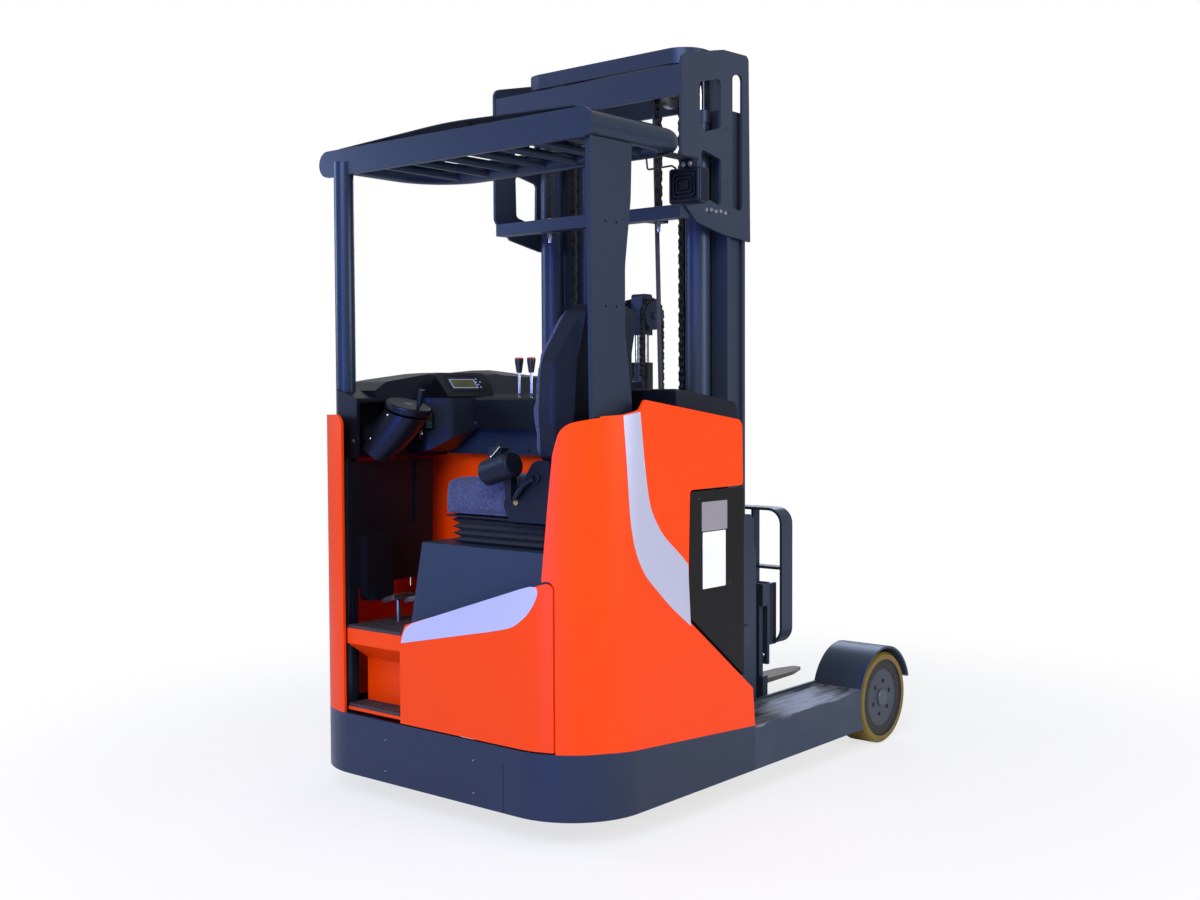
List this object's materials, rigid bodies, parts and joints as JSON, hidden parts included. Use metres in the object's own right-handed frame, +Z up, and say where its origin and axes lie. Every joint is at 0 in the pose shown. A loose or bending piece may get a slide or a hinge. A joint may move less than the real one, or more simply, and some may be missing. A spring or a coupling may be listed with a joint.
{
  "type": "reach truck",
  "caption": "Sit-on electric reach truck with side seat, overhead guard, straddle legs with load wheels, reaching three-stage mast, forks and load backrest.",
  "frame": {"origin": "middle of the footprint on the floor, halfway between the rear face and the fork tips", "axes": "+X is the truck's right side (the driver sits sideways and faces -X), +Y points along the forks, +Z up"},
  "size_m": [1.27, 2.458, 2.4953],
  "materials": {
    "orange_paint": "satin",
    "blue_grey_paint": "satin",
    "black_paint": "satin",
    "black_plastic": "matte",
    "display_glass": "gloss",
    "seat_fabric": "woven",
    "black_rubber": "matte",
    "wheel_tread": "gloss",
    "bare_steel": "brushed",
    "polished_rod": "polished",
    "machine_grey": "satin"
  },
  "bodies": {
    "chassis": {"chassis_frame": "blue_grey_paint", "leg_left": "blue_grey_paint", "leg_right": "blue_grey_paint", "side_shell_right": "orange_paint", "side_shell_left": "orange_paint", "battery_side_covers": "black_plastic", "cab_floor": "orange_paint", "step_treads": "black_rubber", "bulkhead": "orange_paint", "battery": "machine_grey", "cross_beam": "blue_grey_paint", "seat_hood": "blue_grey_paint", "seat_bellows": "black_rubber", "seat_cushion": "seat_fabric", "seat_back": "black_plastic", "seat_back_pad": "seat_fabric", "seat_brackets": "black_paint", "console": "black_plastic", "battery_lid": "black_plastic", "display_panel": "display_glass", "control_levers": "black_plastic", "knee_cover": "black_plastic", "pedals": "bare_steel", "steering_head": "black_plastic", "guard_frame": "blue_grey_paint", "plate_post": "blue_grey_paint", "roof_sheet": "blue_grey_paint", "work_light": "black_plastic", "lamp_lead": "black_rubber", "drive_motor": "machine_grey", "pump_unit": "machine_grey", "reach_barrel": "black_paint"},
    "door": {"service_door": "orange_paint"},
    "steering_disc": {"hand_wheel": "black_plastic"},
    "drive_turntable": {"drive_unit": "black_paint"},
    "drive_wheel_body": {"drive_wheel": "wheel_tread"},
    "load_wheel_left_body": {"load_wheel_left": "wheel_tread"},
    "load_wheel_right_body": {"load_wheel_right": "wheel_tread"},
    "reach_carriage": {"mast_outer": "blue_grey_paint", "mast_side_plates": "blue_grey_paint", "reach_rollers": "bare_steel", "lift_cylinders": "black_paint", "reach_rod": "polished_rod", "mast_hose": "black_rubber"},
    "middle_stage": {"mast_middle": "blue_grey_paint", "lift_rods": "polished_rod", "chain_pulleys": "bare_steel", "lift_chains": "bare_steel"},
    "inner_stage": {"mast_inner": "blue_grey_paint", "free_lift_cylinder": "black_paint"},
    "free_lift_head": {"free_lift_rod": "polished_rod", "free_lift_head": "black_paint", "free_lift_chains": "bare_steel"},
    "lift_carriage": {"fork_carriage": "blue_grey_paint"},
    "fork_unit": {"fork_frame": "blue_grey_paint", "fork_left": "black_paint", "fork_right": "black_paint", "load_backrest": "blue_grey_paint"}
  },
  "joints": [
    {"name": "service_door_hinge", "type": "hinge", "parent": "chassis", "child": "door", "pos_m": [0.5005, -1.231, 0.5], "axis": [0, 0, 1], "range_deg": [0, 100]},
    {"name": "steer", "type": "hinge", "parent": "chassis", "child": "drive_turntable", "pos_m": [0.08, -0.899, 0.39], "axis": [0, 0, 1], "range_deg": [-90, 90]},
    {"name": "hand_wheel_turn", "type": "hinge", "parent": "chassis", "child": "steering_disc", "pos_m": [-0.288, -1.039, 1.283], "axis": [0.309, 0, 0.9511], "range_deg": [-450, 450]},
    {"name": "drive_wheel_spin", "type": "hinge", "parent": "drive_turntable", "child": "drive_wheel_body", "pos_m": [0.08, -0.899, 0.17], "axis": [1, 0, 0], "continuous": true},
    {"name": "load_wheel_left_spin", "type": "hinge", "parent": "chassis", "child": "load_wheel_left_body", "pos_m": [-0.571, 0.529, 0.171], "axis": [1, 0, 0], "continuous": true},
    {"name": "load_wheel_right_spin", "type": "hinge", "parent": "chassis", "child": "load_wheel_right_body", "pos_m": [0.571, 0.529, 0.171], "axis": [1, 0, 0], "continuous": true},
    {"name": "reach", "type": "slide", "parent": "chassis", "child": "reach_carriage", "axis": [0, 1, 0], "range_m": [0, 0.56]},
    {"name": "mast_lift", "type": "slide", "parent": "reach_carriage", "child": "middle_stage", "axis": [0, 0, 1], "range_m": [0, 1.6]},
    {"name": "inner_lift", "type": "slide", "parent": "middle_stage", "child": "inner_stage", "axis": [0, 0, 1], "range_m": [0, 1.6]},
    {"name": "free_lift", "type": "slide", "parent": "inner_stage", "child": "lift_carriage", "axis": [0, 0, 1], "range_m": [0, 1.2]},
    {"name": "free_lift_head_rise", "type": "slide", "parent": "inner_stage", "child": "free_lift_head", "axis": [0, 0, 1], "range_m": [0, 0.6]},
    {"name": "fork_tilt", "type": "hinge", "parent": "lift_carriage", "child": "fork_unit", "pos_m": [0, 0.011, 0.345], "axis": [1, 0, 0], "range_deg": [-2, 4]}
  ],
  "couplings": [
    {"joint": "hand_wheel_turn", "follows": "steer", "ratio": 5},
    {"joint": "inner_lift", "follows": "mast_lift", "ratio": 1},
    {"joint": "free_lift_head_rise", "follows": "free_lift", "ratio": 0.5}
  ]
}
